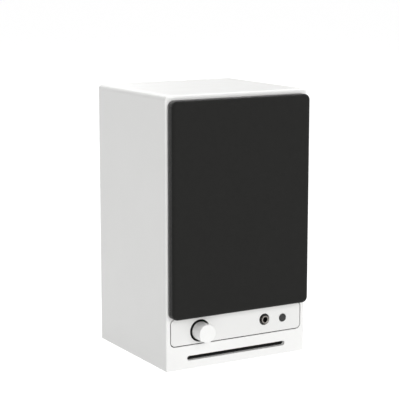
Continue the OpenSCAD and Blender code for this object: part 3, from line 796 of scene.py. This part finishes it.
def leads():
    """Drivers' and controls' leads, as curves along the routes of their CAD solids, in millimetres."""
    lead_r, apart = 0.8, 3
    board_y, control_y = BOARD_FACE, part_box("control_board")[1].y / MM
    basket_y, cup_y = FRONT_Y / MM + 20, FRONT_Y / MM + 15
    woofer_z, tweeter_z = WOOFER.z / MM, TWEETER.z / MM
    exit_z, top = BOARD_Z - 17, BOARD_Z + 45
    low, high = PANEL_Z - 2, PANEL_Z + 19
    routes = {"red": [], "black": [], "grey": []}
    for z, colour in ((-apart, "black"), (apart, "red")):
        routes[colour].append([
            (-32, board_y, exit_z + z), (-32, 2, exit_z + z),
            (-43, basket_y, woofer_z + z), (-24.5, basket_y, woofer_z + z),
        ])
    for x, colour in ((-apart, "black"), (apart, "red")):
        routes[colour].append([
            (27 + x, board_y, top), (27 + x, 0, top), (x, 0, tweeter_z), (x, cup_y, tweeter_z),
        ])
    for x in range(-2 * apart, 4, apart):
        routes["grey"].append([(x, control_y, low), (x, 0, low), (x, 0, high), (x, board_y, high)])
    for colour, curves in routes.items():
        tubes = [tube_along([p * MM for p in bezier(handles)], lead_r * MM) for handles in curves]
        piece = make_piece("leads_" + colour, *merged(tubes), "lead_" + colour)
        stand_for(piece, CABINET, "wire_insulation", "wiring")


def can(x, z, radius, length):
    """Profile of an electrolytic can: crimp near the board, rounded shoulder, top a little sunk."""
    top, groove = -length, -2.2
    points = [
        (0, top + 0.3), (radius - 1, top + 0.3), (radius - 0.8, top), (radius, top), (radius, groove - 0.9),
        (radius - 0.6, groove), (radius, groove + 0.9), (radius, 0), (0, 0),
    ]
    outline = fillet(points, [0, 0.1, 0.15, 0.7, 0.4, 0.4, 0.4, 0.1, 0], steps=3)
    return lathe(outline, Vector((x, 0, z)) * MM, BOARD_FACE * MM, segments=48, closed=False)


def board_parts():
    """Capacitors, chips, chokes and plug housings on the boards, in millimetres."""
    cans = [can(x, BOARD_Z - 33, 6.3, 22) for x in (-24, -9)]
    cans += [can(x, BOARD_Z - 35, 3.2, 11) for x in (6, 14, 22, 30)]
    stand_for(make_piece("capacitor_cans", *merged(cans), "sleeve"), CABINET, "black_plastic", "capacitors")

    chip_places = ((-24, 24, 8, 11), (-24, 42, 5, 6), (30, 10, 5, 6), (-26, 6, 6, 4))
    chips = [brick((x, BOARD_FACE - 0.8, BOARD_Z + z), (w, 1.6, h)) for x, z, w, h in chip_places]
    chips += [brick((x, BOARD_FACE - 2, BOARD_Z - 12), (4, 4, 9), 0.6) for x in (-18, -10, -2)]
    stand_for(make_piece("board_chips", *merged(chips), "plastic"), CABINET, "black_plastic")

    plug_places = (
        (-32, BOARD_Z - 17, 5, 11), (27, BOARD_Z + 45, 11, 5), (-1.5, PANEL_Z + 19, 14, 5),
    )
    plugs = [brick((x, BOARD_FACE - 3, z), (w, 6, h), 0.5) for x, z, w, h in plug_places]
    stand_for(make_piece("board_plugs", *merged(plugs), "nylon"), CABINET, "white_plastic")

    hole, wire, lift = 1.6, 1.3, 1.6
    ring = []
    for angle in (math.pi * k / 8 for k in range(16)):
        ring.append((hole + wire - wire * math.cos(angle), -lift + wire * math.sin(angle)))
    chokes = []
    for x in (24, 31):
        centre = Vector((x, 0, BOARD_Z - 14)) * MM
        chokes.append(lathe(ring, centre, BOARD_FACE * MM, segments=48))
    stand_for(make_piece("board_chokes", *merged(chokes), "coil"), CABINET, "copper")


BOARD_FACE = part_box("main_board")[0].y / MM
BOARD_Z = middle("main_board").z / MM
PANEL_Z = middle("control_panel").z / MM
leads()
board_parts()


# ---------------------------------------------------------------- stage, light and camera


SPEAKER_MIDDLE = Vector((0, 0, 0.09))


def stage_floor():
    """Pale studio floor that the speaker stands on."""
    half = 40.0
    corners = [(-half, -half, 0), (half, -half, 0), (half, half, 0), (-half, half, 0)]
    mesh = bpy.data.meshes.new("studio_floor")
    mesh.from_pydata(corners, [], [(0, 1, 2, 3)])
    floor = bpy.data.objects.new("studio_floor", mesh)
    bpy.context.scene.collection.objects.link(floor)
    material = new_material("studio_floor_white", (0.22, 0.22, 0.22), 0.9)
    shader = shader_of(material)
    shader.inputs["Specular IOR Level"].default_value = 0.05
    shader.inputs["Emission Color"].default_value = (1, 1, 1, 1)
    shader.inputs["Emission Strength"].default_value = 0.96
    mesh.materials.append(material)


def soft_light(name, location, size, power):
    """Square light that faces the speaker, size metres wide, with its power in watts."""
    light = bpy.data.lights.new(name, "AREA")
    light.shape = "SQUARE"
    light.size = size
    light.energy = power
    lamp = bpy.data.objects.new(name, light)
    lamp.location = location
    lamp.rotation_euler = (SPEAKER_MIDDLE - Vector(location)).to_track_quat("-Z", "Y").to_euler()
    bpy.context.scene.collection.objects.link(lamp)


def studio_world():
    """White near the horizon, where it meets the floor, and dim above."""
    white, dim = 1.0, 0.08
    dims_from, dims_to = 0.14, 0.24
    world = bpy.data.worlds.new("studio_world")
    world.use_nodes = True
    background = world.node_tree.nodes["Background"]
    background.inputs["Strength"].default_value = 1.0
    split = add_node(world, "ShaderNodeSeparateXYZ")
    direction = add_node(world, "ShaderNodeTexCoord").outputs["Generated"]
    feed(world, split.inputs[0], direction)
    feed(world, background.inputs["Color"], spread(world, split.outputs[2], white, dim, dims_from, dims_to))
    bpy.context.scene.world = world


def studio():
    studio_world()
    soft_light("key_light", (0.2, -2.2, 1.0), size=1.4, power=25)
    soft_light("left_key_light", (-0.9, -2.0, 1.1), size=1.4, power=8.5)
    soft_light("top_light", (0.2, 0.1, 1.7), size=1.0, power=22.5)
    soft_light("side_light", (-1.3, -0.1, 1.5), size=1.0, power=1.6)
    soft_light("back_light", (0.35, 2.2, 1.2), size=1.4, power=15)


def camera():
    """Three-quarter view from the front left, slightly above."""
    azimuth, elevation = math.radians(-29.98), math.radians(9.83)
    eye_place = (-0.46179, FRONT_Y - 0.75129, CABINET_BOTTOM + 0.26188)
    back = Vector((
        math.sin(azimuth) * math.cos(elevation),
        -math.cos(azimuth) * math.cos(elevation),
        math.sin(elevation),
    ))
    data = bpy.data.cameras.new("camera")
    data.sensor_width = 36
    data.lens = 123.14
    data.clip_start = 0.05
    data.clip_end = 50
    eye = bpy.data.objects.new("camera", data)
    eye.location = eye_place
    eye.rotation_mode = "QUATERNION"
    eye.rotation_quaternion = (-back).to_track_quat("-Z", "Y")
    bpy.context.scene.collection.objects.link(eye)
    bpy.context.scene.camera = eye


stage_floor()
studio()
camera()
bpy.context.scene.view_settings.view_transform = "Standard"
